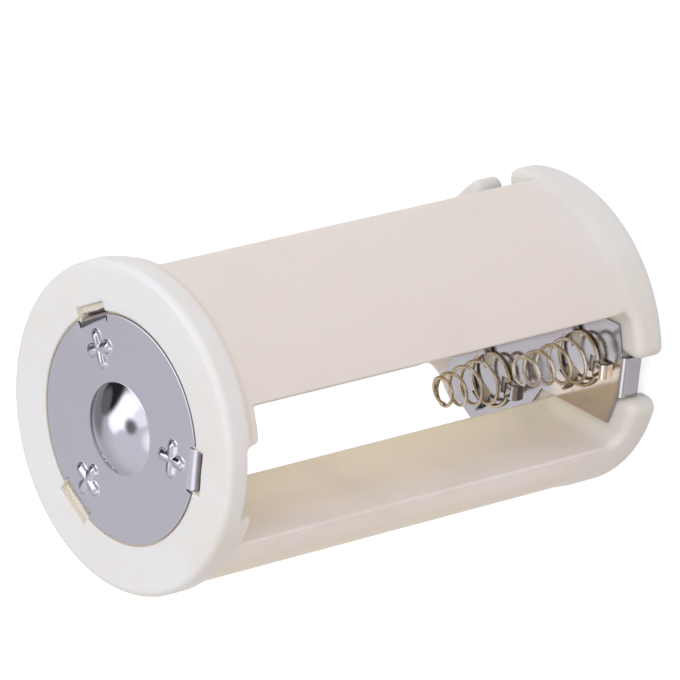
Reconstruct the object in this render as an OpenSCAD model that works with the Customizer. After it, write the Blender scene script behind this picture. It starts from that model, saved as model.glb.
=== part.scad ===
// Adapter that carries three AA cells side by side in the envelope of one D cell.
// It stands on its flat negative end: +Z is the long axis, and the contact dome is on top.
// The three cells lie in open bays, one bay every 120 degrees, between three moulded ribs.

/* [Envelope] */
// Diameter of the locating flange at the positive end
flange_d = 34.2; // [33.8:0.1:34.6]
// Diameter over the three ribs
body_d = 33.4; // [33.2:0.1:33.6]
// Diameter of the rim at the negative end
rim_d = 33.7; // [33.6:0.1:33.9]
// Height of the flange's outer face above the negative end
body_h = 58.1; // [57.8:0.1:58.6]
// Thickness of the flange at its outer edge
flange_t = 2.4; // [2:0.1:2.8]

/* [Cell bays] */
// Distance of each cell's axis from the long axis
cell_pitch_r = 8.4; // [8.35:0.05:8.5]
// Radius of a bay, with room round a 14.5 mm cell
bay_r = 7.4; // [7.35:0.05:7.45]
// Fillet where a bay runs into the end wall
bay_fillet = 1.7; // [1:0.1:1.8]
// Radius at which the inner tips of the ribs are cut off
rib_tip_r = 7.5; // [7.3:0.1:7.8]
// Height at which the retaining shoulder starts, above the negative end
shoulder_z = 53.9; // [53.4:0.1:54.4]
// Width of the gate in the shoulder, at the middle of each bay
gate_w = 7.7; // [7:0.1:8.4]
// Radius of the hole that lets a cell's nub reach the contact disc
nub_hole_r = 3.0; // [2.9:0.1:3.1]

/* [Negative end] */
// Height of the end wall's inner face, which carries the spring plate
wall_top_z = 3.3; // [3:0.1:3.6]
// Depth of the recess round the outer contact
end_recess = 1.5; // [1.3:0.1:1.7]
// Radius of that recess
end_recess_r = 14.4; // [14.2:0.1:14.5]
// Width of the notch in the rim, one for each tab of the spring plate
notch_w = 4.7; // [4.6:0.1:5.2]

/* [Contacts] */
// Thickness of the nickel-plated sheet
sheet_t = 0.3; // [0.25:0.05:0.35]
// Radius of the positive contact disc
disc_r = 11.7; // [11.5:0.1:11.8]
// Radius of the dome at its foot
dome_r = 4.75; // [4.5:0.05:5]
// Height of the dome above the disc
dome_h = 1.5; // [1.3:0.1:1.7]
// Width of every bent tab
tab_w = 4.4; // [4:0.1:4.5]
// Tip to tip size of a plus mark
plus_size = 3.9; // [3.5:0.1:4.1]
// Width of a plus mark's arms
plus_w = 1.25; // [1.1:0.05:1.4]
// Height of the plus marks
plus_h = 0.4; // [0.25:0.05:0.45]
// Half the width of a spring plate's arm
arm_half_w = 5.5; // [5.2:0.1:5.6]
// Radius of the rounded ends of the arms
arm_end_r = 14.4; // [14.2:0.1:14.5]

/* [Springs] */
// Diameter of the spring wire
wire_d = 0.4; // [0.3:0.05:0.45]
// Mean radius of the first coil, on the plate
coil_base_r = 2.9; // [2.85:0.05:3]
// Mean radius of the last coil, at the cell
coil_tip_r = 1.35; // [1.2:0.05:1.5]
// Free height of a spring above the plate
spring_h = 8.2; // [7.4:0.1:9]
// Turns of a spring, with its two flat end coils
spring_turns = 5.25; // [4.75:0.25:5.5]

/* [Hidden] */

bay_angles = [90, 210, 330];
over = 1;                                    // how far a cut runs past the face that it opens
flange_r = flange_d / 2;
body_r = body_d / 2;
rim_r = rim_d / 2;
flange_z = body_h - flange_t;                // back of the flange's rounded outer edge
flange_round = 0.7;                          // radius of the flange's front edge
flange_flare = 1.2;                          // height of the soft step from the ribs to the flange
rim_top_z = wall_top_z + 1.5;                // where the rim's slight swell has died out
rim_round = 0.3;                             // radius of the rim's lower edge
rim_crest = 0.8;                             // radius of the end wall's upper edge, in the bays
disc_gap = 0.2;                              // gap between the disc and its recess
disc_z = body_h - 0.05 - sheet_t;            // seat of the disc, whose face is just under the flange's
end_wall_t = 1;                              // plastic between a cell's shoulder and the disc
pocket_z = disc_z - end_wall_t;              // top of the pocket that holds a cell's positive end
rib_root = 1;                                // how far below the pocket's top the ribs keep their tips
gate_round = 1;                              // radius of the shoulder's corners at a gate
notch_flare = 1.5;                           // radius of the rim's corners at a notch
tab_fit = 0.1;                               // room at each side of a tab in its slot
bend_in = 0.3;                               // inner radius of the other bends in the sheet
bend_out = bend_in + sheet_t;
disc_bend = 0.7;                             // inner radius of the bend where a disc tab dives
disc_tab_s = 10.7;                           // where the disc's tabs start to bend
disc_leg_s = disc_tab_s + disc_bend;         // inner face of a tab's leg, in its slit
disc_slit_s = disc_leg_s + sheet_t + bend_in;
disc_relief_s = 12.7;                        // outer end of the relief round a tab's bend
disc_relief = 0.65;                          // depth of that relief below the flange's face
disc_foot = 1.5;                             // length of a tab's foot under the plastic
plate_tab_s = arm_end_r - 0.1;               // where the spring plate's tabs start to bend
notch_floor_s = plate_tab_s - 0.15;          // edge of the end wall behind those tabs
plate_foot = 2.4;                            // length of the feet that clamp the outer contact
plate_z = wall_top_z;
plate_top_z = plate_z + sheet_t;
wall_low_z = end_recess;                     // outer face of the end wall
outer_disc_r = 13.2;                         // the outer negative contact, a shallow dish
outer_pad_r = 9;
outer_pad_z = 0.1;
hook_w = 1.6;                                // lanced hooks that hold each spring's first coil
hook_root = coil_base_r + wire_d / 2 + 0.95;
hook_reach = 1.27;                           // it ends over the first coil, clear of the next one
hook_angles = [0, 120, 240];
hook_gap = 0.08;                             // room between a hook and the wire
hook_window = 2.7;
hook_under_z = plate_top_z + wire_d + 2 * hook_gap;
wire_sides = 8;
steps_per_turn = 22;
base_turns = 0.86;                           // flat turns at the foot of a spring
tip_turns = 0.4;                             // flat turns at its tip
coil_start = 162;                            // where the wire starts; it climbs past the last hook
coil_step = 0.35;                            // how far the wire steps in after its first coil
step_turns = 0.25;                           // turns that this step takes
eps = 0.01;

// Points of an arc about [cx, cy], from angle a0 to angle a1.
function arc(cx, cy, r, a0, a1, n = 8) =
    [for (i = [0:n]) let (a = a0 + (a1 - a0) * i / n) [cx + r * cos(a), cy + r * sin(a)]];

// Repeats its children at each bay.
module each_bay() {
    for (a = bay_angles) rotate(a) children();
}

// Stands a flat profile up: its x runs out from the axis, its y runs up, and it is w wide.
module upright(w) {
    translate([0, w / 2, 0]) rotate([90, 0, 0]) linear_extrude(height = w) children();
}

// A quarter of a sheet bend about the origin, in the quadrant x > 0, y > 0.
module quarter_bend(inner = bend_in) {
    outer = inner + sheet_t;
    intersection() {
        difference() {
            circle(r = outer, $fn = 48);
            circle(r = inner, $fn = 48);
        }
        square(outer);
    }
}

// Outer form of the moulding before anything is cut out: rim, body, soft step, flange.
module body_envelope() {
    step_h = flange_r - body_r;
    rotate_extrude($fn = 180) polygon(concat(
        [[0, 0]],
        arc(rim_r - rim_round, rim_round, rim_round, -90, 0, 4),
        [[rim_r, wall_top_z], [body_r, rim_top_z]],
        [for (i = [0:8]) let (u = i / 8)
            [body_r + step_h * (1 - cos(180 * u)) / 2, flange_z - flange_flare * (1 - u)]],
        arc(flange_r - flange_round, body_h - flange_round, flange_round, 0, 90, 6),
        [[0, body_h]]
    ));
}

// Half of a bay's cross-section: a flat floor with a fillet up to the wall.
function bay_half(top) = concat(
    [[0, wall_top_z]],
    arc(bay_r - bay_fillet, wall_top_z + bay_fillet, bay_fillet, -90, 0),
    [[bay_r, top], [0, top]]
);

// The round seat of one cell, up to the pocket at the positive end.
module cell_seat() {
    translate([cell_pitch_r, 0, 0]) rotate_extrude($fn = 96) polygon(bay_half(pocket_z));
}

// The open side of a bay, from the cell's axis out through the skin.
module bay_window() {
    half = bay_half(shoulder_z);
    other = [for (i = [len(half) - 1:-1:0]) [-half[i][0], half[i][1]]];
    translate([cell_pitch_r, 0, 0]) rotate([90, 0, 90])
        linear_extrude(height = flange_r + over - cell_pitch_r) polygon(concat(half, other));
}

// Rounds off the end wall's upper edge where a bay runs out over it.
module wall_crest() {
    low = wall_top_z - rim_crest;
    intersection() {
        rotate_extrude($fn = 180) polygon(concat(
            arc(rim_r - rim_crest, low, rim_crest, 90, 0),
            [[rim_r + over, low], [rim_r + over, wall_top_z + eps], [rim_r - rim_crest, wall_top_z + eps]]
        ));
        translate([0, eps - bay_r, 0]) cube([rim_r + over, 2 * (bay_r - eps), wall_top_z + over]);
    }
}

// The gate through the shoulder, up to the back of the flange, with rounded corners below.
module shoulder_gate() {
    g = gate_w / 2;
    right = concat(
        [[g + gate_round, shoulder_z - eps]],
        arc(g + gate_round, shoulder_z + gate_round, gate_round, 270, 180, 6),
        arc(g - 0.4, flange_z - 0.4, 0.4, 0, 90, 4)
    );
    left = [for (i = [len(right) - 1:-1:0]) [-right[i][0], right[i][1]]];
    translate([cell_pitch_r, 0, 0]) rotate([90, 0, 90])
        linear_extrude(height = flange_r + over - cell_pitch_r) polygon(concat(right, left));
}

// The notch in the rim, from the tab's slot out, with its outer corners rounded.
module rim_notch() {
    w = notch_w / 2;
    mouth = rim_r - 0.45;                    // the rim at the far side of the rounded corners
    low = concat(
        [[notch_floor_s, -w]],
        arc(mouth - notch_flare, -w - notch_flare, notch_flare, 90, 0),
        [[rim_r + over, -w - notch_flare]]
    );
    high = [for (i = [len(low) - 1:-1:0]) [low[i][0], -low[i][1]]];
    translate([0, 0, -over]) linear_extrude(height = wall_top_z + 2 * over) polygon(concat(low, high));
}

// Slit for a tab of the positive disc, joined to the nub hole, under a wider relief for its bend.
module disc_slot() {
    w = tab_w / 2 + tab_fit;
    s = disc_tab_s - 0.1;
    translate([s, -w, pocket_z - over]) cube([disc_slit_s - s, 2 * w, body_h + 2 * over - pocket_z]);
    translate([s, -w, body_h - disc_relief]) cube([disc_relief_s - s, 2 * w, disc_relief + over]);
}

// Outline of the three-armed spring plate.
module plate_2d(half_w, reach) {
    each_bay() translate([0, -half_w]) square([reach, 2 * half_w]);
}

// The one-piece moulding: two end walls joined by three ribs.
module holder_body() {
    color([0.93, 0.91, 0.87]) difference() {
        body_envelope();
        each_bay() {
            cell_seat();
            bay_window();
            wall_crest();
            shoulder_gate();
            rim_notch();
            disc_slot();
            translate([cell_pitch_r, 0, pocket_z - over])
                cylinder(r = nub_hole_r, h = end_wall_t + over + eps, $fn = 64);
        }
        translate([0, 0, wall_top_z]) {
            cylinder(r = rib_tip_r, h = pocket_z - rib_root - wall_top_z, $fn = 96);
            linear_extrude(height = sheet_t) plate_2d(arm_half_w + tab_fit, rib_tip_r + 1);
        }
        translate([0, 0, disc_z]) cylinder(r = disc_r + disc_gap, h = body_h, $fn = 128);
        translate([0, 0, -over]) cylinder(r = end_recess_r, h = over + end_recess, $fn = 128);
    }
}

// A plus sign with round-ended arms.
module plus_2d(size, w) {
    for (a = [0, 90]) rotate(a) {
        square([size - w, w], center = true);
        for (side = [-1, 1]) translate([side * (size - w) / 2, 0]) circle(r = w / 2, $fn = 24);
    }
}

// Edge view of a disc tab: over the rim, down through the slot, and out under the end wall.
module disc_tab_2d() {
    knee_z = disc_z - disc_bend;
    foot_z = pocket_z - sheet_t;
    translate([disc_tab_s - 1, disc_z]) square([1 + eps, sheet_t]);
    translate([disc_tab_s, knee_z]) quarter_bend(disc_bend);
    translate([disc_leg_s, foot_z + bend_out - eps]) square([sheet_t, knee_z - foot_z - bend_out + 2 * eps]);
    translate([disc_leg_s + bend_out, foot_z + bend_out]) rotate(180) quarter_bend();
    translate([disc_leg_s + bend_out - eps, foot_z]) square([disc_foot, sheet_t]);
}

// Positive contact: a stamped disc with a dome, three raised plus marks and three bent tabs.
module positive_contact_disc() {
    ball_r = (dome_r * dome_r + dome_h * dome_h) / (2 * dome_h);
    ball_z = disc_z + sheet_t + dome_h - ball_r;
    flat_w = tab_w / 2 + tab_fit;
    color([0.72, 0.72, 0.76]) difference() {
        union() {
            difference() {
                translate([0, 0, disc_z]) cylinder(r = disc_r, h = sheet_t, $fn = 128);
                each_bay() translate([disc_tab_s, -flat_w, disc_z - over])
                    cube([disc_r - disc_tab_s + over, 2 * flat_w, 3 * over]);
            }
            intersection() {
                translate([0, 0, ball_z]) sphere(r = ball_r, $fn = 96);
                translate([0, 0, disc_z + eps]) cylinder(r = dome_r + over, h = dome_h + over, $fn = 64);
            }
            each_bay() {
                translate([cell_pitch_r - 0.2, 0, disc_z + eps])
                    linear_extrude(height = sheet_t + plus_h - eps) plus_2d(plus_size, plus_w);
                upright(tab_w) disc_tab_2d();
            }
        }
        translate([0, 0, ball_z]) sphere(r = ball_r - sheet_t, $fn = 96);
        each_bay() translate([cell_pitch_r - 0.2, 0, disc_z - over])
            linear_extrude(height = over + plus_h) plus_2d(plus_size - 2 * sheet_t, plus_w - 2 * sheet_t);
    }
}

// Edge view of a plate tab: over the wall's edge, down the notch, and in under the outer contact.
module plate_tab_2d() {
    leg_s = plate_tab_s + bend_in;
    knee_z = plate_top_z - bend_out;
    foot_z = wall_low_z - 2 * sheet_t;
    translate([plate_tab_s - 1, plate_z]) square([1 + eps, sheet_t]);
    translate([plate_tab_s, knee_z]) quarter_bend();
    translate([leg_s, foot_z + bend_out - eps]) square([sheet_t, knee_z - foot_z - bend_out + 2 * eps]);
    translate([plate_tab_s, foot_z + bend_out]) mirror([0, 1]) quarter_bend();
    translate([plate_tab_s - plate_foot, foot_z]) square([plate_foot + eps, sheet_t]);
}

// Edge view of a lanced hook: up from the plate and back over the first coil.
module hook_2d() {
    top_z = hook_under_z + sheet_t;
    translate([hook_root, plate_z + eps]) square([sheet_t, top_z - plate_z - bend_out]);
    translate([hook_root - bend_in, top_z - bend_out]) quarter_bend();
    translate([hook_root - hook_reach, hook_under_z]) square([hook_reach - bend_in + eps, sheet_t]);
}

// Places its children at each hook of each spring.
module each_hook() {
    each_bay() translate([cell_pitch_r, 0, 0])
        for (a = hook_angles) rotate(a) children();
}

// Inner negative contact: a three-armed stamping that carries the springs and folds round the wall.
module negative_spring_plate() {
    color([0.68, 0.65, 0.62]) {
        difference() {
            translate([0, 0, plate_z]) linear_extrude(height = sheet_t) intersection() {
                circle(r = arm_end_r, $fn = 128);
                plate_2d(arm_half_w, plate_tab_s);
            }
            each_hook() translate([hook_root - hook_window, -hook_w / 2 - tab_fit, plate_z - over])
                cube([hook_window, hook_w + 2 * tab_fit, 3 * over]);
        }
        each_bay() upright(tab_w) plate_tab_2d();
        each_hook() upright(hook_w) hook_2d();
    }
}

// Outer negative contact: a shallow dish, clamped against the end wall by the plate's feet.
module negative_contact_disc() {
    top = wall_low_z;
    pad = outer_pad_z;
    slope = 0.9;                             // how far the side of the dish leans out
    lean = 0.2;                              // how much further in its inner side starts
    color([0.72, 0.72, 0.76]) rotate_extrude($fn = 128) polygon([
        [0, pad], [outer_pad_r, pad], [outer_pad_r + slope, top - sheet_t],
        [outer_disc_r, top - sheet_t], [outer_disc_r, top], [outer_pad_r + slope - lean, top],
        [outer_pad_r - lean, pad + sheet_t], [0, pad + sheet_t]
    ]);
}

// Share of the climb reached after t turns: flat at both ends, with an even pitch between.
function climb(t) = min(1, max(0, (t - base_turns) / (spring_turns - base_turns - tip_turns)));

// Share of the step that is still to come after t turns.
function step_left(t) = (1 + cos(180 * min(1, max(0, (t - base_turns) / step_turns)))) / 2;

// Radius of the wire's centre after t turns: a round first coil, a step in, then an even cone.
function coil_r(t) =
    let (cone = max(0, (t - base_turns) / (spring_turns - base_turns)))
    coil_base_r - coil_step * (1 - step_left(t)) - (coil_base_r - coil_step - coil_tip_r) * cone;

// Centre of the wire after t turns, as [radius, height].
function coil(t) = [coil_r(t), plate_top_z + eps + wire_d / 2 + (spring_h - wire_d - eps) * climb(t)];

// One conical spring: a round wire swept along a closing helix, foot on the plate.
module cell_spring(i) {
    n = round(spring_turns * steps_per_turn);
    points = [
        for (k = [0:n], j = [0:wire_sides - 1])
            let (c = coil(spring_turns * k / n), a = 360 * spring_turns * k / n, b = 360 * j / wire_sides)
            let (r = c[0] + wire_d / 2 * cos(b))
            [r * cos(a), r * sin(a), c[1] + wire_d / 2 * sin(b)]
    ];
    sides = [
        for (k = [0:n - 1], j = [0:wire_sides - 1])
            let (m = (j + 1) % wire_sides, p = k * wire_sides, q = p + wire_sides)
            [p + j, p + m, q + m, q + j]
    ];
    foot = [for (j = [wire_sides - 1:-1:0]) j];
    tip = [for (j = [0:wire_sides - 1]) n * wire_sides + j];
    a = bay_angles[i];
    color([0.60, 0.53, 0.42]) translate([cell_pitch_r * cos(a), cell_pitch_r * sin(a), 0]) rotate(coil_start)
        polyhedron(points, concat([foot], sides, [tip]), convexity = 10);
}

holder_body();
positive_contact_disc();
negative_spring_plate();
negative_contact_disc();
cell_spring(0);  // cell_spring_1
cell_spring(1);  // cell_spring_2
cell_spring(2);  // cell_spring_3
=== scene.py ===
import math

import bmesh
import bpy
import numpy as np
from mathutils import Matrix, Vector


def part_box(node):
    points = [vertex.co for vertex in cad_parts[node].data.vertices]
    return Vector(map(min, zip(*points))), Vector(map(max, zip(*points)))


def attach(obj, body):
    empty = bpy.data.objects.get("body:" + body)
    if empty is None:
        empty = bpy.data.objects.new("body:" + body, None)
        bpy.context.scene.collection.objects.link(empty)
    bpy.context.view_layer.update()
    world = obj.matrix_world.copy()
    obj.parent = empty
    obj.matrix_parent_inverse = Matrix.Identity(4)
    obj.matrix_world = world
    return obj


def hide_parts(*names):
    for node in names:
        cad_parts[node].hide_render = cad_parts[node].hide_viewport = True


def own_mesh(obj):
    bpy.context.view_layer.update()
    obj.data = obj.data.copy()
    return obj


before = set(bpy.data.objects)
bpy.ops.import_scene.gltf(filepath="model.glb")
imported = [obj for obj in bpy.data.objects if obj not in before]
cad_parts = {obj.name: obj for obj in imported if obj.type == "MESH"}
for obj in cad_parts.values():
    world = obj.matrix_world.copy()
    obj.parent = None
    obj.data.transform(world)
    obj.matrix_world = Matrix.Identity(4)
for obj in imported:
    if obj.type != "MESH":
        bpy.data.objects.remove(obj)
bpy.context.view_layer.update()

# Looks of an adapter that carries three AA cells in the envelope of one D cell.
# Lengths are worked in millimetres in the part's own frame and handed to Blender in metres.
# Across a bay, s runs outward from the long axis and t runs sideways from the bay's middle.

MM = 0.001
WELD = 0.0005                                # points closer than this are one


def node_top(name):
    """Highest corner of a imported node, in millimetres."""
    return [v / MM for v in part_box(name)[1]]


def node_heights(name):
    """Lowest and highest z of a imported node, in millimetres."""
    low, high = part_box(name)
    return low[2] / MM, high[2] / MM


# ---------------------------------------------------------------- sizes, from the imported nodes
BODY_HIGH = node_top("holder_body")
DISC_HIGH = node_top("positive_contact_disc")

SHEET = 0.3                                  # thickness of the stamped sheet
BODY_H = BODY_HIGH[2]                        # outer face of the flange
FLANGE_R = BODY_HIGH[0]
BODY_R = FLANGE_R - 0.4                      # over the ribs
RIM_R = FLANGE_R - 0.25                      # at the negative end
FLANGE_Z = BODY_H - 2.4                      # back of the flange's edge
FLARE_H = 1.2                                # soft step from the ribs to the flange
DISC_Z = BODY_H - 0.05 - SHEET               # seat of the positive disc
DISC_TOP = DISC_Z + SHEET
DOME_H = DISC_HIGH[2] - DISC_TOP
POCKET_Z = DISC_Z - 1.0                      # top of a cell's pocket
SHOULDER_Z = FLANGE_Z - 1.8                  # upper end of a bay's open side
WALL_Z = 3.3                                 # inner face of the negative end wall
RIM_TAPER_H = 1.5                            # soft step from the rim to the ribs
BAY_S = 8.4                                  # a cell's axis, from the long axis
BAY_R = 7.4
BAY_ANGLES = (90, 210, 330)
RIB_TIP_R = 7.5                              # where the ribs' thin inner edges end
CORE_TOP = POCKET_Z - 1.0                    # top of the open space between the ribs
GATE_HALF = 3.85
NUB_R = 3.0
RECESS_R = 11.9
DISC_R = 11.7
END_RECESS_R, END_RECESS_Z = 14.4, 1.5
NOTCH_HALF, NOTCH_S, NOTCH_TOP = 2.35, 14.15, 6.0
SLOT_HALF, SLOT_S0, SLIT_S, RELIEF_S = 2.3, 10.6, 12.0, 12.7
RELIEF_Z = BODY_H - 0.65                     # floor of the relief round a disc tab's bend
CUT_IN = 0.5                                 # how far a cut reaches into the one before it
TAB_HALF, TAB_S, LEG_S = 2.2, 10.7, 11.4
DOME_R = 4.75
BALL_R = (DOME_R ** 2 + DOME_H ** 2) / (2 * DOME_H)     # the ball that the dome is a cap of
MARK_S = BAY_S - 0.2
WIRE_R = 0.2

# radii of the moulding's edges and corners
GATE_ROUND = 0.4
SHOULDER_ROUND = 0.6
SEAT_ROUND = 0.3
FLOOR_ROUND = 1.7
POCKET_ROUND = 0.2
TIP_ROUND, TIP_EXTRA, TIP_FADE_Z = 0.02, 0.28, 4.2      # sharp at the end wall, softer 1 mm above it
NOTCH_ROUND = 1.4
FACE_ROUND = 0.7
FOOT_ROUND = 0.3
RIB_ROUND, RIM_EXTRA, RIM_FADE_Z, RIM_FADE_H = 0.3, 0.7, 5.2, 1.2    # a bay's edges are softer at the rim
RECESS_ROUND = 0.15
SLOT_ROUND = 0.12
END_RECESS_ROUND = 0.2


# ---------------------------------------------------------------- small helpers
def new_object(name, verts, faces, material, smooth_angle=None, weld=False):
    """A mesh piece from points in millimetres."""
    mesh = bpy.data.meshes.new(name)
    mesh.from_pydata((np.asarray(verts, dtype=float) * MM).tolist(), [], faces)
    if weld:
        net = bmesh.new()
        net.from_mesh(mesh)
        bmesh.ops.remove_doubles(net, verts=net.verts, dist=WELD * MM)
        net.to_mesh(mesh)
        net.free()
    mesh.validate()
    mesh.update()
    mesh.materials.append(material)
    obj = bpy.data.objects.new(name, mesh)
    bpy.context.scene.collection.objects.link(obj)
    mesh.shade_smooth()
    if smooth_angle is not None:
        mesh.set_sharp_from_angle(angle=math.radians(smooth_angle))
    return obj


def smooth01(u):
    """Soft step from 0 to 1."""
    u = np.clip(u, 0.0, 1.0)
    return u * u * (3 - 2 * u)


def spaced(*stops):
    """Grid lines: stops are (start, step) pairs, the last one only ends the row."""
    lines = []
    for (a, step), (b, _) in zip(stops, stops[1:]):
        n = max(1, int(round((b - a) / step)))
        lines += [a + (b - a) * i / n for i in range(n)]
    return np.array(lines + [stops[-1][0]])


# ---------------------------------------------------------------- the moulding, as a rounded solid
def both(a, b, r):
    """Where two forms overlap, with the edge between them rounded to radius r."""
    return np.minimum(-r, np.maximum(a, b)) + np.hypot(np.maximum(r + a, 0), np.maximum(r + b, 0))


def either(a, b, r):
    """Two forms joined, with the inner corner between them rounded to radius r."""
    return np.maximum(r, np.minimum(a, b)) - np.hypot(np.maximum(r - a, 0), np.maximum(r - b, 0))


def outer_radius(z):
    """Outside of the moulding: the rim, the ribs, and the flared step to the flange."""
    taper = (RIM_R - BODY_R) * (1 - np.clip((z - WALL_Z) / RIM_TAPER_H, 0, 1))
    step = np.clip((z - FLANGE_Z) / FLARE_H + 1, 0, 1)
    return BODY_R + taper + (FLANGE_R - BODY_R) * (1 - np.cos(math.pi * step)) / 2


def bay_tool(s, t, r, z):
    """What is cut away for one cell: its bay, its pocket, its nub hole, and the core between the ribs."""
    seat = np.hypot(s - BAY_S, t) - BAY_R
    bay = np.where(s > BAY_S, t - BAY_R, seat)
    gate = both(t - GATE_HALF, z - FLANGE_Z, GATE_ROUND)
    # the shoulder keeps the cell in, and is open at the gate
    shoulder = both(SHOULDER_Z - z, -gate, SHOULDER_ROUND)
    shoulder = both(shoulder, -seat, SEAT_ROUND)
    tool = both(bay, WALL_Z - z, FLOOR_ROUND)
    tool = np.maximum(tool, -shoulder)
    tool = both(tool, z - POCKET_Z, POCKET_ROUND)
    nub = np.maximum(np.hypot(s - BAY_S, t) - NUB_R, POCKET_Z - CUT_IN - z)
    tool = np.minimum(tool, nub)
    core = np.maximum(np.maximum(r - RIB_TIP_R, WALL_Z - z), z - CORE_TOP)
    return either(tool, core, TIP_ROUND + TIP_EXTRA * np.clip(z - TIP_FADE_Z, 0, 1))


def moulding(r, phi, z):
    """Signed distance to the moulding; phi runs from the middle of the nearest bay."""
    s, t = r * np.cos(phi), np.abs(r * np.sin(phi))
    notch = np.maximum(np.maximum(t - NOTCH_HALF, NOTCH_S - s), z - NOTCH_TOP)
    form = both(r - outer_radius(z), -notch, NOTCH_ROUND)
    form = both(form, z - BODY_H, FACE_ROUND)
    form = both(form, -z, FOOT_ROUND)
    crest = RIB_ROUND + RIM_EXTRA * np.clip((RIM_FADE_Z - z) / RIM_FADE_H, 0, 1)
    form = both(form, -bay_tool(s, t, r, z), crest)
    form = both(form, -np.maximum(r - RECESS_R, DISC_Z - z), RECESS_ROUND)
    slot = np.maximum(t - SLOT_HALF, SLOT_S0 - s)
    relief = np.maximum(slot, np.maximum(s - RELIEF_S, RELIEF_Z - z))
    slit = np.maximum(slot, np.maximum(s - SLIT_S, POCKET_Z - CUT_IN - z))
    form = both(form, -np.minimum(relief, slit), SLOT_ROUND)
    return both(form, -np.maximum(r - END_RECESS_R, z - END_RECESS_Z), END_RECESS_ROUND)


def moulding_at(p):
    """Signed distance to the moulding at points in the part's frame."""
    phi = np.arctan2(p[:, 1], p[:, 0]) - math.pi / 2
    phi = np.mod(phi + math.pi / 3, 2 * math.pi / 3) - math.pi / 3
    return moulding(np.hypot(p[:, 0], p[:, 1]), phi, p[:, 2])


def slope(p, h=0.02):
    """Gradient of the distance at each point."""
    g = np.empty_like(p)
    for k in range(3):
        q = p.copy()
        q[:, k] += h
        up = moulding_at(q)
        q[:, k] -= 2 * h
        g[:, k] = (up - moulding_at(q)) / (2 * h)
    return g


# grid of the net, finer where the moulding has its edges
GRID_R = spaced((0, 1.25), (5, 0.75), (6.5, 0.4), (8.5, 0.5), (10.5, 0.2), (11.7, 0.1), (12.1, 0.3),
                (14.2, 0.12), (14.6, 0.35), (16.0, 0.23), (17.4, 0.2))
GRID_Z = spaced((-0.24, 0.12), (0.36, 0.45), (1.26, 0.12), (1.74, 0.4), (2.4, 0.2), (5.6, 0.4), (6.4, 2.6),
                (52.8, 0.4), (53.6, 0.15), (54.4, 0.35), (55.4, 0.15), (56.0, 0.3), (56.9, 0.15), (58.3, 0.15))
PER_BAY = 120                                # steps of angle for each bay
PULLS = 4                                    # times that each point is drawn onto the surface
PULL_MAX = 0.1                               # longest move of one pull
SLOPE_MIN = 0.2                              # keeps a pull sound where two surfaces meet


def sample_moulding():
    """Distance at every grid point: half a bay is worked out, and the rest repeats and mirrors it."""
    half = PER_BAY // 2
    phi = np.arange(half + 1) * (math.pi / 3) / half
    part = moulding(GRID_R[:, None, None], phi[None, :, None], GRID_Z[None, None, :])
    fold = np.arange(3 * PER_BAY) % PER_BAY
    fold = np.where(fold <= half, fold, PER_BAY - fold)
    return part[:, fold, :]


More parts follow.
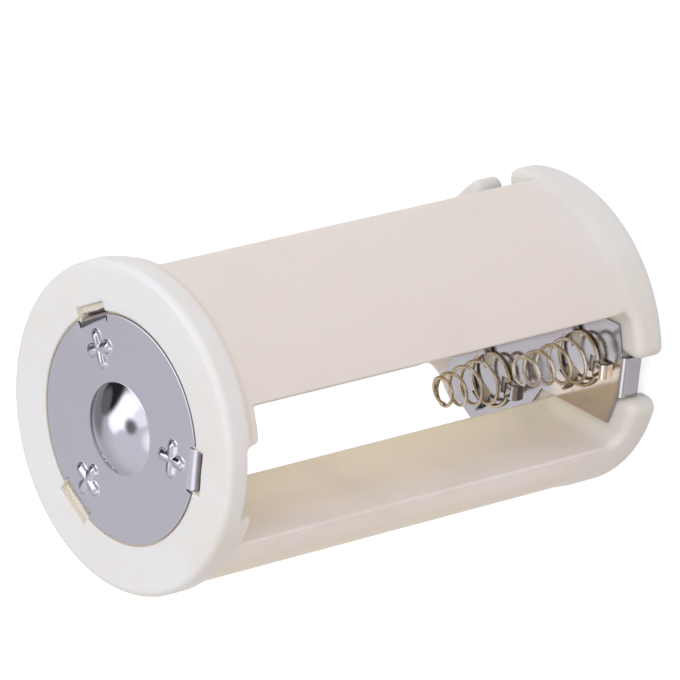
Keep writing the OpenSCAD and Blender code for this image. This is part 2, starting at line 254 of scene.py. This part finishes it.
def make_moulding(material):
    """Net of quads over the moulding's surface, on a grid of radius, angle and height."""
    field = sample_moulding()
    nr, n_phi, nz = field.shape
    after = (np.arange(n_phi) + 1) % n_phi
    before = (np.arange(n_phi) - 1) % n_phi
    inside = field < 0
    corners = [(a, b, c) for a in (0, 1) for b in (0, 1) for c in (0, 1)]

    def at(values, a, b, c):
        """The values at one corner of every grid cell."""
        v = values[:, after, :] if b else values
        return v[a:nr - 1 + a, :, c:nz - 1 + c]

    count = sum(at(inside, *corner).astype(np.int8) for corner in corners)
    live = (count > 0) & (count < 8)
    ids = -np.ones(live.shape, dtype=np.int64)
    ids[live] = np.arange(live.sum())
    ci, cj, ck = np.nonzero(live)

    # each live cell holds one point: the mean of the crossings on the cell's edges
    total = np.zeros((len(ci), 3))
    hits = np.zeros(len(ci))
    for low in corners:
        for axis in range(3):
            if low[axis]:
                continue
            high = tuple(1 if k == axis else low[k] for k in range(3))
            f_low, f_high = at(field, *low)[live], at(field, *high)[live]
            cross = (f_low < 0) != (f_high < 0)
            spot = np.stack([np.full(len(ci), float(v)) for v in low], 1)
            spot[:, axis] += np.where(cross, f_low / np.where(cross, f_low - f_high, 1), 0)
            total += spot * cross[:, None]
            hits += cross
    local = total / hits[:, None]
    pr = GRID_R[ci] + local[:, 0] * (GRID_R[ci + 1] - GRID_R[ci])
    pa = (cj + local[:, 1]) * (2 * math.pi / n_phi) + math.pi / 2
    pz = GRID_Z[ck] + local[:, 2] * (GRID_Z[ck + 1] - GRID_Z[ck])
    points = np.stack([pr * np.cos(pa), pr * np.sin(pa), pz], 1)
    for _ in range(PULLS):
        d, g = moulding_at(points), slope(points)
        move = d[:, None] * g / np.maximum((g * g).sum(1), SLOPE_MIN)[:, None]
        points -= np.clip(move, -PULL_MAX, PULL_MAX)

    # one quad for every grid edge that crosses the surface, through the four cells round the edge
    edges = (
        (inside[:-1, :, 1:-1], inside[1:, :, 1:-1],
         lambda i, j, k: (ids[i, before[j], k], ids[i, j, k], ids[i, j, k + 1], ids[i, before[j], k + 1])),
        (inside[1:-1, :, 1:-1], inside[1:-1][:, after][:, :, 1:-1],
         lambda i, j, k: (ids[i, j, k], ids[i, j, k + 1], ids[i + 1, j, k + 1], ids[i + 1, j, k])),
        (inside[1:-1, :, :-1], inside[1:-1, :, 1:],
         lambda i, j, k: (ids[i, before[j], k], ids[i + 1, before[j], k], ids[i + 1, j, k], ids[i, j, k])))
    quads = []
    for leaving in (True, False):
        for near, far, cells in edges:
            crossing = near & ~far if leaving else ~near & far
            ring = np.stack(cells(*np.nonzero(crossing)), 1)
            quads.append(ring if leaving else ring[:, ::-1])
    verts = points.tolist()
    faces = np.concatenate(quads).tolist()

    # on the long axis the grid shrinks to a line, so where the line leaves the solid a fan closes the net
    for k in range(nz - 1):
        solid_below = inside[0, 0, k]
        if solid_below == inside[0, 0, k + 1]:
            continue
        ring = ids[0, :, k]
        centre = points[ring].mean(0)
        centre[:2] = 0
        hub = len(verts)
        verts.append(centre.tolist())
        for a, b in zip(ring.tolist(), ring[after].tolist()):
            faces.append([hub, a, b] if solid_below else [hub, b, a])
    obj = new_object("moulded_body", verts, faces, material)
    g = slope(np.array(verts))
    g /= np.maximum(np.linalg.norm(g, axis=1), 1e-9)[:, None]
    obj.data.normals_split_custom_set_from_vertices(g.tolist())
    return obj


# ---------------------------------------------------------------- stamped sheet
MARK_H = 0.4                                 # height of a plus sign's ridges
MARK_REACH, MARK_HALF = 1.33, 0.68           # half length of a ridge's straight part, and half its width
MARK_DIP, MARK_DIP_AREA = 0.12, 0.45         # shallow hollow where the two ridges cross
TAB_SKEW = (-0.10, 0.02, 0.03)               # how unevenly each tab was folded
TAB_DENT = (0.02, 0.0, 0.01)                 # how far each fold pulled the sheet down in front of it
DENT_START, DENT_LENGTH = 1.3, 1.5           # where the pulled down part begins, and how far it fades in
DENT_HALF, DENT_FADE = 3.4, 1.6
TAB_GAP = 0.5                                # degrees between a tab and the disc's round edge
TAB_COLUMNS, RIM_COLUMNS = 49, 190           # points across a tab, and along the edge between two tabs
RIM_START = 0.14                             # degrees from a tab's cut to the first of those points
FLAT_R = 10.5                                # the rows of points are round up to here, and fit the edge beyond
BEND_H, FOOT_R, FOOT_LENGTH = 1.0, 0.3, 1.5  # a tab's upper bend, its lower bend, and its foot
QUARTER = [math.pi / 2 * i / 9 for i in range(10)]


def mark_height(s, t):
    """Height of a pressed plus sign: a rounded ridge along each of its two arms."""
    along_s = np.hypot(np.maximum(np.abs(s) - MARK_REACH, 0), t)
    along_t = np.hypot(np.maximum(np.abs(t) - MARK_REACH, 0), s)
    u = np.clip(1 - (np.minimum(along_s, along_t) / MARK_HALF) ** 2, 0, 1)
    dip = MARK_DIP * np.exp(-(s * s + t * t) / MARK_DIP_AREA)
    return MARK_H * u ** 0.72 * (1 - dip)


def disc_height(x, y):
    """Height of the disc's outer face over its flat, from the dome, the plus signs and the folds."""
    r = np.hypot(x, y)
    dome = np.sqrt(np.maximum(BALL_R ** 2 - r ** 2, 0)) - (BALL_R - DOME_H)
    h = np.where(r < DOME_R + 0.5, np.maximum(dome, 0), 0)
    for a, dent in zip(BAY_ANGLES, TAB_DENT):
        c, q = math.cos(math.radians(a)), math.sin(math.radians(a))
        s, t = x * c + y * q, -x * q + y * c
        h = h + mark_height(s - MARK_S, t)
        near_fold = smooth01((s - TAB_S + DENT_START) / DENT_LENGTH)
        h = h - dent * near_fold * smooth01((DENT_HALF - np.abs(t)) / DENT_FADE)
    return h


def disc_columns():
    """Angle of every column of the disc's points, its turn from the nearest tab, and whether it is on a tab."""
    edge = math.degrees(math.atan2(TAB_HALF, TAB_S))
    gap = edge + TAB_GAP
    one = list(np.linspace(-edge, edge, TAB_COLUMNS)) + [gap]
    one += list(np.linspace(gap + RIM_START, 120 - gap - RIM_START, RIM_COLUMNS)) + [120 - gap]
    angle = np.array([bay + a for bay in BAY_ANGLES for a in one])
    turn = np.array([a if a < 60 else a - 120 for _ in BAY_ANGLES for a in one])
    is_tab = np.array([i < TAB_COLUMNS for _ in BAY_ANGLES for i in range(len(one))])
    is_cut = np.abs(turn) <= gap + 1e-6
    return angle, turn, is_tab, is_cut


def tab_path(inner, skew, lift):
    """Edge view of one face of a tab: over the bend, down, and out under the end wall."""
    wide = LEG_S + SHEET - TAB_S - skew - inner
    high = BEND_H - inner + lift
    turn_r = FOOT_R + inner
    heel_s, heel_z = LEG_S + SHEET + FOOT_R, POCKET_Z + FOOT_R
    path = [(TAB_S + skew + wide * math.sin(q), DISC_TOP - BEND_H + high * math.cos(q)) for q in QUARTER[1:]]
    path += [(heel_s - turn_r * math.cos(q), heel_z - turn_r * math.sin(q)) for q in QUARTER[1:]]
    return path + [(heel_s + FOOT_LENGTH, POCKET_Z - inner)]


def make_disc(material):
    """Positive contact: one sheet with a dome, three plus signs and three bent tabs."""
    angle, turn, is_tab, is_cut = disc_columns()
    limit = np.where(is_cut, TAB_S / np.cos(np.radians(turn)), DISC_R)
    n = len(angle)
    ca, sa = np.cos(np.radians(angle)), np.sin(np.radians(angle))

    def outer_row(rad, low=0.0):
        return np.stack([rad * ca, rad * sa, DISC_TOP + disc_height(rad * ca, rad * sa) - low], 1)

    # the outer face from the middle to the edge, with the edge rounded except on the tabs
    round_rows = np.concatenate([
        np.linspace(0.3, 4.5, 22), np.linspace(4.6, 4.95, 6), np.linspace(5.1, FLAT_R, 52)])
    rows = [outer_row(rad) for rad in round_rows]
    rows += [outer_row(FLAT_R + (limit - 0.06 - FLAT_R) * f) for f in (0.3, 0.6, 0.9)]
    rows += [outer_row(np.where(is_tab, limit, limit - inset), np.where(is_tab, 0.0, drop))
             for inset, drop in ((0.035, 0.0), (0.010, 0.010), (0.0, 0.035))]
    top_last = len(rows) - 1
    # the inner face from the edge back to the middle
    for rad0 in (None, 10.4, 8.0, 5.2, 4.4, 3.6, 2.6, 1.4, 0.3):
        rad = limit if rad0 is None else np.full(n, rad0)
        lift = -SHEET
        if rad0 is not None and rad0 < 5.2:
            lift = max(math.sqrt((BALL_R - SHEET) ** 2 - rad0 ** 2) - (BALL_R - DOME_H), -SHEET)
        rows.append(np.stack([rad * ca, rad * sa, np.full(n, DISC_TOP + lift)], 1))

    verts = np.concatenate(rows).tolist()
    faces = []
    m = len(rows)
    for i in range(m - 1):
        for j in range(n):
            k = (j + 1) % n
            # a tab goes on from the outer face to the inner one, so there is no edge to close here
            if i == top_last and is_tab[j] and is_tab[k]:
                continue
            faces.append([i * n + j, (i + 1) * n + j, (i + 1) * n + k, i * n + k])
    hub, sole = len(verts), len(verts) + 1
    verts += [[0, 0, DISC_TOP + DOME_H], [0, 0, DISC_TOP + DOME_H - SHEET]]
    for j in range(n):
        k = (j + 1) % n
        faces.append([hub, j, k])
        faces.append([sole, (m - 1) * n + k, (m - 1) * n + j])

    steps = len(tab_path(0.0, 0.0, 0.0))
    last = TAB_COLUMNS - 1
    for bay, bay_angle in enumerate(BAY_ANGLES):
        first = bay * (n // 3)
        columns = range(first, first + TAB_COLUMNS)
        c, q = math.cos(math.radians(bay_angle)), math.sin(math.radians(bay_angle))
        up = [[top_last * n + col for col in columns]] + [[] for _ in range(steps)]
        low = [[(top_last + 1) * n + col for col in columns]] + [[] for _ in range(steps)]
        for col in columns:
            t = TAB_S * math.tan(math.radians(turn[col]))
            lift = disc_height(TAB_S * c - t * q, TAB_S * q + t * c)
            for inner, store in ((0.0, up), (SHEET, low)):
                for i, (s, z) in enumerate(tab_path(inner, TAB_SKEW[bay] * t, lift)):
                    store[i + 1].append(len(verts))
                    verts.append([s * c - t * q, s * q + t * c, z])
        for i in range(steps):
            for a in range(last):
                faces.append([up[i][a], up[i + 1][a], up[i + 1][a + 1], up[i][a + 1]])
                faces.append([low[i][a], low[i][a + 1], low[i + 1][a + 1], low[i + 1][a]])
            faces.append([up[i][0], low[i][0], low[i + 1][0], up[i + 1][0]])
            faces.append([up[i][last], up[i + 1][last], low[i + 1][last], low[i][last]])
        for a in range(last):
            faces.append([up[-1][a], low[-1][a], low[-1][a + 1], up[-1][a + 1]])
    return new_object("positive_disc", verts, faces, material, smooth_angle=50, weld=True)


# ---------------------------------------------------------------- springs
TURNS, FOOT_TURNS, TIP_TURNS = 5.25, 0.86, 0.4          # in all, flat in the hooks, flat at the tip
FOOT_COIL_R, FOOT_STEP, TIP_COIL_R = 2.9, 0.35, 1.35    # the coil steps in as it leaves the hooks
WIRE_START = 162                             # direction of the wire's lower end, in degrees
WIRE_SIDES, STEPS_PER_TURN = 14, 56
SLUMP = (0.25, 1.15, 0.0)                    # how far each spring's last coil sits below its free height


def make_spring(index, material):
    """Conical spring of round wire, with a flat first coil in the hooks and a narrow, flat tip."""
    node = f"cell_spring_{index + 1}"
    low, high = node_heights(node)
    foot, tip = low + WIRE_R, high - WIRE_R
    bay = math.radians(BAY_ANGLES[index])
    centre = np.array([BAY_S * math.cos(bay), BAY_S * math.sin(bay), 0.0])
    n = int(TURNS * STEPS_PER_TURN)
    t = np.linspace(0, TURNS, n + 1)
    climb = np.clip((t - FOOT_TURNS) / (TURNS - FOOT_TURNS - TIP_TURNS), 0, 1)
    cone = np.clip((t - FOOT_TURNS) / (TURNS - FOOT_TURNS), 0, 1)
    in_hooks = (1 + np.cos(math.pi * np.clip((t - FOOT_TURNS) / 0.25, 0, 1))) / 2
    radius = FOOT_COIL_R - FOOT_STEP * (1 - in_hooks) - (FOOT_COIL_R - FOOT_STEP - TIP_COIL_R) * cone
    height = foot + (tip - foot) * climb
    # no two springs are wound quite alike: a small wander, and a last coil that may have been pushed down
    phase = 1.7 * index
    radius += 0.05 * np.sin(2.3 * t + phase) * cone
    height += 0.07 * np.sin(3.1 * t + phase) * climb * (1 - climb) * 4
    height -= SLUMP[index] * smooth01((t - TURNS + 1.0) / 0.9)

    a = math.radians(WIRE_START) + 2 * math.pi * t
    path = np.stack([radius * np.cos(a), radius * np.sin(a), height], 1) + centre
    tangent = np.gradient(path, axis=0)
    tangent /= np.linalg.norm(tangent, axis=1)[:, None]
    out = np.stack([np.cos(a), np.sin(a), np.zeros_like(a)], 1)
    side = np.cross(tangent, out)
    side /= np.linalg.norm(side, axis=1)[:, None]
    out = np.cross(side, tangent)
    verts, faces = [], []
    for i in range(n + 1):
        for j in range(WIRE_SIDES):
            b = 2 * math.pi * j / WIRE_SIDES
            verts.append(path[i] + WIRE_R * (math.cos(b) * out[i] + math.sin(b) * side[i]))
    for i in range(n):
        for j in range(WIRE_SIDES):
            k = (j + 1) % WIRE_SIDES
            near, far = i * WIRE_SIDES, (i + 1) * WIRE_SIDES
            faces.append([near + j, far + j, far + k, near + k])
    faces.append(list(range(WIRE_SIDES)))
    faces.append(list(range(n * WIRE_SIDES + WIRE_SIDES - 1, n * WIRE_SIDES - 1, -1)))
    obj = new_object(f"coil_spring_{index + 1}", verts, faces, material, smooth_angle=60)
    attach(obj, "holder")
    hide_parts(node)
    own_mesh(obj)
    return obj


# ---------------------------------------------------------------- shader nodes
class Nodes:
    """Short way to lay out shader nodes."""

    def __init__(self, tree):
        self.tree = tree
        tree.nodes.clear()

    def add(self, kind, **settings):
        node = self.tree.nodes.new(kind)
        for key, value in settings.items():
            if key.startswith("in_"):
                node.inputs[key[3:].replace("_", " ")].default_value = value
            else:
                setattr(node, key, value)
        return node

    def link(self, a, b):
        self.tree.links.new(a, b)

    def put(self, value, socket):
        """Link another node's output to the socket, or set the socket to a plain value."""
        if hasattr(value, "links"):
            self.link(value, socket)
        else:
            socket.default_value = value


def new_material(name):
    mat = bpy.data.materials.new(name)
    mat.use_nodes = True
    return mat, Nodes(mat.node_tree)


def surface(n, result, kind="ShaderNodeOutputMaterial"):
    n.link(result, n.add(kind).inputs["Surface"])


def place_on_part(n):
    """A point's place in the part's frame, its x, y and z, and its distance from the long axis."""
    place = n.add("ShaderNodeTexCoord").outputs["Object"]
    split = n.add("ShaderNodeSeparateXYZ")
    n.link(place, split.inputs[0])
    flat = n.add("ShaderNodeVectorMath", operation="MULTIPLY")
    n.link(place, flat.inputs[0])
    flat.inputs[1].default_value = (1, 1, 0)
    radius = n.add("ShaderNodeVectorMath", operation="LENGTH")
    n.link(flat.outputs[0], radius.inputs[0])
    return place, split.outputs, radius.outputs["Value"]


def noise(n, coords, scale, detail=3.0, rough=0.5):
    node = n.add("ShaderNodeTexNoise", in_Scale=scale, in_Detail=detail, in_Roughness=rough)
    n.link(coords, node.inputs["Vector"])
    return node.outputs["Fac"]


def ramp(n, source, low, high, out_low, out_high):
    """Soft step of a value, from out_low at low to out_high at high."""
    node = n.add("ShaderNodeMapRange", interpolation_type="SMOOTHSTEP")
    for key, value in (("From Min", low), ("From Max", high), ("To Min", out_low), ("To Max", out_high)):
        node.inputs[key].default_value = value
    n.link(source, node.inputs["Value"])
    return node.outputs["Result"]


def fade(n, source, start, end):
    """Soft step from 0 to 1 between two places on the part, in millimetres."""
    return ramp(n, source, start * MM, end * MM, 0, 1)


def combine(n, operation, a, b):
    node = n.add("ShaderNodeMath", operation=operation)
    n.put(a, node.inputs[0])
    n.put(b, node.inputs[1])
    return node.outputs[0]


def mix_value(n, factor, a, b):
    node = n.add("ShaderNodeMix", data_type="FLOAT")
    n.link(factor, node.inputs["Factor"])
    n.put(a, node.inputs[2])
    n.put(b, node.inputs[3])
    return node.outputs[0]


def mix_colour(n, factor, a, b):
    node = n.add("ShaderNodeMix", data_type="RGBA")
    n.link(factor, node.inputs["Factor"])
    n.put((*a, 1) if isinstance(a, tuple) else a, node.inputs[6])
    n.put((*b, 1) if isinstance(b, tuple) else b, node.inputs[7])
    return node.outputs[2]


def mix_shader(n, factor, a, b):
    node = n.add("ShaderNodeMixShader")
    n.link(factor, node.inputs[0])
    n.link(a, node.inputs[1])
    n.link(b, node.inputs[2])
    return node.outputs[0]


def bump(n, height, strength, distance, below=None):
    node = n.add("ShaderNodeBump", in_Strength=strength, in_Distance=distance)
    n.link(height, node.inputs["Height"])
    if below is not None:
        n.link(below, node.inputs["Normal"])
    return node.outputs["Normal"]


# ---------------------------------------------------------------- materials
# the ribs' plastic, with a painted warm glow standing in for light through the thin ribs
RIB_SKIN_AND_GLOW = (0.850, 0.785, 0.755)
LOW_RIB_SKIN_AND_LIGHT = (0.925, 0.865, 0.855)         # the lower rib's skin, painted lighter where it lies away from the light
UNDERSIDE_PAINTED_SHADE = (0.870, 0.785, 0.670)            # painted shade: a darker, yellower line along the lower rib's outer side, away from the light
RIM_SKIN = (0.840, 0.820, 0.822)
BAY_SKIN_AND_GLOW = (1.0, 0.905, 0.755)                  # painted glow: the bays' insides lighter and yellower, standing in for light through the plastic into their shade
FLANGE_FACE = (0.840, 0.845, 0.870)
FLANGE_RECESS_SHADE = (0.92, 0.84, 0.72)            # painted shade: the plastic in the recess round the disc and in the slots, darker and warmer
CLOUDS = (0.80, 0.755, 0.70)
DISC_NICKEL, DISC_STAIN = (0.412, 0.403, 0.462), (0.40, 0.385, 0.42)
PLATE_NICKEL, PLATE_STAIN = (0.40, 0.385, 0.415), (0.40, 0.37, 0.36)
PLATE_WALL_REFLECTION = (0.60, 0.52, 0.45)              # painted reflection of the beige plastic walls, on the plate beside the springs of the open bay
WIRE_BRIGHT, WIRE_WORN = (0.57, 0.51, 0.45), (0.49, 0.39, 0.28)


def milky_plastic():
    """Natural nylon: milky, with a satin moulded skin; painted light in its colour: a warm glow on the ribs and
    in the bays, a lighter lower rib, and painted shade on its lowest line and round the disc.
    """
    mat, n = new_material("milky_plastic")
    place, xyz, radius = place_on_part(n)
    cloud = noise(n, place, 95.0, 2.0)
    fine = noise(n, place, 1400.0, 3.0)
    grain = noise(n, place, 5200.0, 2.0)
    # painted light: the lower rib, which lies away from the light, gets a lighter colour than the upper ribs
    skin_and_light = mix_colour(n, fade(n, xyz["Y"], -8, -12.5), RIB_SKIN_AND_GLOW, LOW_RIB_SKIN_AND_LIGHT)
    # painted shade along the lower rib's lowest line
    skin_and_light = mix_colour(n, fade(n, xyz["Y"], -15, -16.4), skin_and_light, UNDERSIDE_PAINTED_SHADE)
    # the ribs' painted warm glow gives way to the rim's colour towards the negative end
    skin_and_light = mix_colour(n, fade(n, xyz["Z"], 11, 3), skin_and_light, RIM_SKIN)
    # painted glow: the insides of the bays lighter and yellower
    colour = mix_colour(n, fade(n, radius, BODY_R, 9), skin_and_light, BAY_SKIN_AND_GLOW)
    # painted shade in the recess round the disc and in the slots
    near_disc = fade(n, radius, 13.0, 12.7)
    below_face = fade(n, xyz["Z"], BODY_H - 0.02, BODY_H - 0.12)
    face = mix_colour(n, combine(n, "MULTIPLY", near_disc, below_face), FLANGE_FACE, FLANGE_RECESS_SHADE)
    colour = mix_colour(n, fade(n, xyz["Z"], FLANGE_Z - 1.5, FLANGE_Z + 0.8), colour, face)
    colour = mix_colour(n, ramp(n, cloud, 0.42, 0.75, 0, 0.5), colour, CLOUDS)
    shader = n.add("ShaderNodeBsdfPrincipled", in_IOR=1.42)
    n.link(colour, shader.inputs["Base Color"])
    shader.subsurface_method = "RANDOM_WALK"
    shader.inputs["Subsurface Weight"].default_value = 0.35
    shader.inputs["Subsurface Radius"].default_value = (1.0, 0.62, 0.36)
    shader.inputs["Subsurface Scale"].default_value = 0.0022
    n.link(ramp(n, fine, 0.3, 0.7, 0.30, 0.42), shader.inputs["Roughness"])
    relief = bump(n, fine, 0.10, 0.00004)
    n.link(bump(n, grain, 0.06, 0.00001, relief), shader.inputs["Normal"])
    surface(n, shader.outputs["BSDF"])
    return mat


def plated_sheet(name, colour, stain_colour, rough_low, rough_high, wall_reflection=None):
    """Bright nickel plate with faint rolling lines, clouded sheen and small stains, and where given a painted
    reflection of the plastic walls on one arm.
    """
    mat, n = new_material(name)
    place = n.add("ShaderNodeTexCoord").outputs["Object"]
    stretch = n.add("ShaderNodeMapping")
    stretch.inputs["Scale"].default_value = (1.0, 26.0, 1.0)
    n.link(place, stretch.inputs["Vector"])
    lines = noise(n, stretch.outputs["Vector"], 420.0, 3.0)
    cloud = noise(n, place, 210.0, 3.0)
    stain = noise(n, place, 620.0, 4.0, 0.6)
    shader = n.add("ShaderNodeBsdfPrincipled", in_Metallic=1.0)
    if wall_reflection:
        # painted reflection of the beige plastic walls, only on the arm in the bay that the camera looks into
        _, xyz, radius = place_on_part(n)
        inner = fade(n, radius, 14.6, 13.8)
        lower = fade(n, xyz["Y"], -4.6, -6.4)
        front = fade(n, xyz["X"], 0.5, 3.0)
        reflection_on_arm = combine(n, "MULTIPLY", combine(n, "MULTIPLY", inner, lower), front)
        colour = mix_colour(n, reflection_on_arm, colour, wall_reflection)
    colour = mix_colour(n, ramp(n, stain, 0.55, 0.72, 0, 0.6), colour, stain_colour)
    n.link(colour, shader.inputs["Base Color"])
    n.link(ramp(n, cloud, 0.3, 0.7, rough_low, rough_high), shader.inputs["Roughness"])
    relief = bump(n, lines, 0.03, 0.00001)
    n.link(bump(n, cloud, 0.02, 0.00004, relief), shader.inputs["Normal"])
    surface(n, shader.outputs["BSDF"])
    return mat


def spring_wire():
    """Drawn spring wire under thin plating, with warmer worn patches."""
    mat, n = new_material("spring_wire")
    place = n.add("ShaderNodeTexCoord").outputs["Object"]
    patch = noise(n, place, 220.0, 1.0)
    fine = noise(n, place, 1500.0, 1.0)
    shader = n.add("ShaderNodeBsdfPrincipled", in_Metallic=1.0)
    colour = mix_colour(n, ramp(n, patch, 0.38, 0.62, 0, 1), WIRE_BRIGHT, WIRE_WORN)
    n.link(colour, shader.inputs["Base Color"])
    n.link(ramp(n, fine, 0.3, 0.7, 0.22, 0.30), shader.inputs["Roughness"])
    n.link(bump(n, fine, 0.04, 0.00001), shader.inputs["Normal"])
    surface(n, shader.outputs["BSDF"])
    return mat


# ---------------------------------------------------------------- studio
ROOM = 0.82                                  # brightness of the room that the metal mirrors
ROOM_GLOW = ((-0.30, -0.40, 0.87), 15, 60, 1.25)
ROOM_ZONES = (                               # direction, full and faded half angle in degrees, brightness
    ((-0.93, 0.28, 0.20), 10, 22, 0.4),      # dim wall
    ((-0.61, 0.14, 0.78), 6, 14, 2.3),       # softbox, a band across the room
    ((-0.46, 0.22, 0.86), 9, 16, 2.5),
    ((-0.20, 0.32, 0.92), 16, 26, 2.6),
    ((0.15, 0.12, 0.98), 8, 15, 1.9),
    ((0.30, -0.50, 0.81), 12, 26, 2.0),      # second, weaker one
    ((-0.63, 0.60, 0.50), 14, 25, 0.03),     # black flag beside it
    ((-0.78, 0.42, 0.46), 8, 14, 0.25),
    ((-0.17, 0.00, 0.985), 3, 13, 0.3))      # lens in the middle of the softbox
SKY = ((0.45, 0.58, 0.68), 20, 140)          # where the soft light comes from, and how far it reaches
SKY_DARK, SKY_BRIGHT = (0.41, 0.31, 0.20), (1.07, 1.08, 1.11)
FLOOR_COLOURS = (0.60, 0.56, 0.51), (0.62, 0.58, 0.53)
FLOOR_GLOW = (0.66, 0.69, 0.74, 1)           # brings the seen floor to white, and keeps its shadows
FLOOR_MIRRORED = 0.72                        # share of that glow in the metal's reflections
FLOOR_HALF = 900.0
KEY_DIRECTION, KEY_DISTANCE, KEY_SIZE, KEY_POWER = (0.95, 0.22, 0.5), 0.5, (0.5, 0.35), 0.22
WHITE = (1, 1, 1, 1)


def make_world():
    """White for the eye, a mirrored room for the metal, and a soft sky for everything else."""
    world = bpy.data.worlds.new("studio")
    bpy.context.scene.world = world
    world.use_nodes = True
    n = Nodes(world.node_tree)
    direction = n.add("ShaderNodeTexCoord").outputs["Generated"]

    def zone(axis, inner, outer):
        dot = n.add("ShaderNodeVectorMath", operation="DOT_PRODUCT")
        n.link(direction, dot.inputs[0])
        dot.inputs[1].default_value = Vector(axis).normalized()
        return ramp(n, dot.outputs["Value"], math.cos(math.radians(outer)), math.cos(math.radians(inner)), 0, 1)

    def background(colour, strength):
        node = n.add("ShaderNodeBackground")
        n.put(colour, node.inputs["Color"])
        n.put(strength, node.inputs["Strength"])
        return node.outputs[0]

    room = ROOM
    for axis, inner, outer, level in (ROOM_GLOW, *ROOM_ZONES):
        room = mix_value(n, zone(axis, inner, outer), room, level)
    sky = mix_colour(n, zone(*SKY), SKY_DARK, SKY_BRIGHT)
    path = n.add("ShaderNodeLightPath").outputs
    lit = mix_shader(n, path["Is Glossy Ray"], background(sky, 1.0), background(WHITE, room))
    seen = combine(n, "MAXIMUM", path["Is Camera Ray"], path["Is Transmission Ray"])
    surface(n, mix_shader(n, seen, lit, background(WHITE, 1.0)), "ShaderNodeOutputWorld")


def make_floor():
    """Plain white floor that still shows the object's soft shadow."""
    mat, n = new_material("studio_floor")
    grain = noise(n, n.add("ShaderNodeTexCoord").outputs["Object"], 900.0, 2.0)
    diffuse = n.add("ShaderNodeBsdfDiffuse")
    n.link(mix_colour(n, grain, *FLOOR_COLOURS), diffuse.inputs["Color"])
    glow = n.add("ShaderNodeEmission")
    glow.inputs["Color"].default_value = FLOOR_GLOW
    glow.inputs["Strength"].default_value = 1.0
    glowing = n.add("ShaderNodeAddShader")
    n.link(diffuse.outputs[0], glowing.inputs[0])
    n.link(glow.outputs[0], glowing.inputs[1])
    path = n.add("ShaderNodeLightPath").outputs
    mirrored = combine(n, "MULTIPLY", path["Is Glossy Ray"], FLOOR_MIRRORED)
    seen = combine(n, "MAXIMUM", path["Is Camera Ray"], mirrored)
    seen = combine(n, "MAXIMUM", seen, path["Is Transmission Ray"])
    surface(n, mix_shader(n, seen, diffuse.outputs[0], glowing.outputs[0]))

    h = FLOOR_HALF
    corners = [(-h, -h, 0), (h, -h, 0), (h, h, 0), (-h, h, 0)]
    new_object("studio_floor", corners, [[0, 1, 2, 3]], mat)


def make_key_light():
    """One large softbox, turned to the middle of the part."""
    data = bpy.data.lights.new("key", "AREA")
    data.shape = "RECTANGLE"
    data.size, data.size_y = KEY_SIZE
    data.energy = KEY_POWER
    lamp = bpy.data.objects.new("key", data)
    bpy.context.scene.collection.objects.link(lamp)
    away = Vector(KEY_DIRECTION).normalized()
    lamp.location = Vector((0, 0, BODY_H * MM / 2)) + away * KEY_DISTANCE
    lamp.rotation_euler = away.to_track_quat("Z", "Y").to_euler()


# The camera stands this far off the long axis, at this bearing round it, and leans by this roll (radians).
OFF_AXIS, BEARING, ROLL = 0.895227, -0.004142, -0.241483
CAMERA_DISTANCE, LENS, SENSOR = 0.6565, 341.137, 36.0   # metres, then millimetres
CAMERA_TARGET = (0, 0, 0.02902)
TURN_RIGHT, TURN_UP = -0.000298, 0.005360    # the target sits a little below the picture's middle


def make_camera():
    """Long lens, 51 degrees off the long axis, with the axis lying across the picture."""
    back = Vector((math.sin(OFF_AXIS) * math.cos(BEARING), math.sin(OFF_AXIS) * math.sin(BEARING),
                   math.cos(OFF_AXIS)))
    axis = Vector((0, 0, 1))
    level_right = -(axis - back * axis.dot(back)).normalized()
    level_up = back.cross(level_right)
    right = math.cos(ROLL) * level_right + math.sin(ROLL) * level_up
    up = -math.sin(ROLL) * level_right + math.cos(ROLL) * level_up
    spot = Vector(CAMERA_TARGET) + back * CAMERA_DISTANCE
    back = (back - right * TURN_RIGHT - up * TURN_UP).normalized()
    right = up.cross(back).normalized()
    up = back.cross(right)
    data = bpy.data.cameras.new("camera")
    data.sensor_width, data.lens = SENSOR, LENS
    data.clip_start, data.clip_end = 0.01, 20.0
    camera = bpy.data.objects.new("camera", data)
    bpy.context.scene.collection.objects.link(camera)
    camera.matrix_world = Matrix((
        (right.x, up.x, back.x, spot.x),
        (right.y, up.y, back.y, spot.y),
        (right.z, up.z, back.z, spot.z),
        (0, 0, 0, 1)))
    bpy.context.scene.camera = camera


# ---------------------------------------------------------------- build
plastic = milky_plastic()
disc_nickel = plated_sheet("nickel_plate", DISC_NICKEL, DISC_STAIN, 0.05, 0.12)
plate_nickel = plated_sheet("spring_plate_nickel", PLATE_NICKEL, PLATE_STAIN, 0.06, 0.16, PLATE_WALL_REFLECTION)
wire = spring_wire()

body = make_moulding(plastic)
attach(body, "holder")
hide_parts("holder_body")

disc = make_disc(disc_nickel)
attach(disc, "holder")
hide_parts("positive_contact_disc")

for name in ("negative_spring_plate", "negative_contact_disc"):
    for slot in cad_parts[name].material_slots:
        slot.material = plate_nickel

for i in range(len(BAY_ANGLES)):
    make_spring(i, wire)

make_camera()
make_world()
make_floor()
make_key_light()

bpy.context.scene.view_settings.view_transform = "Standard"
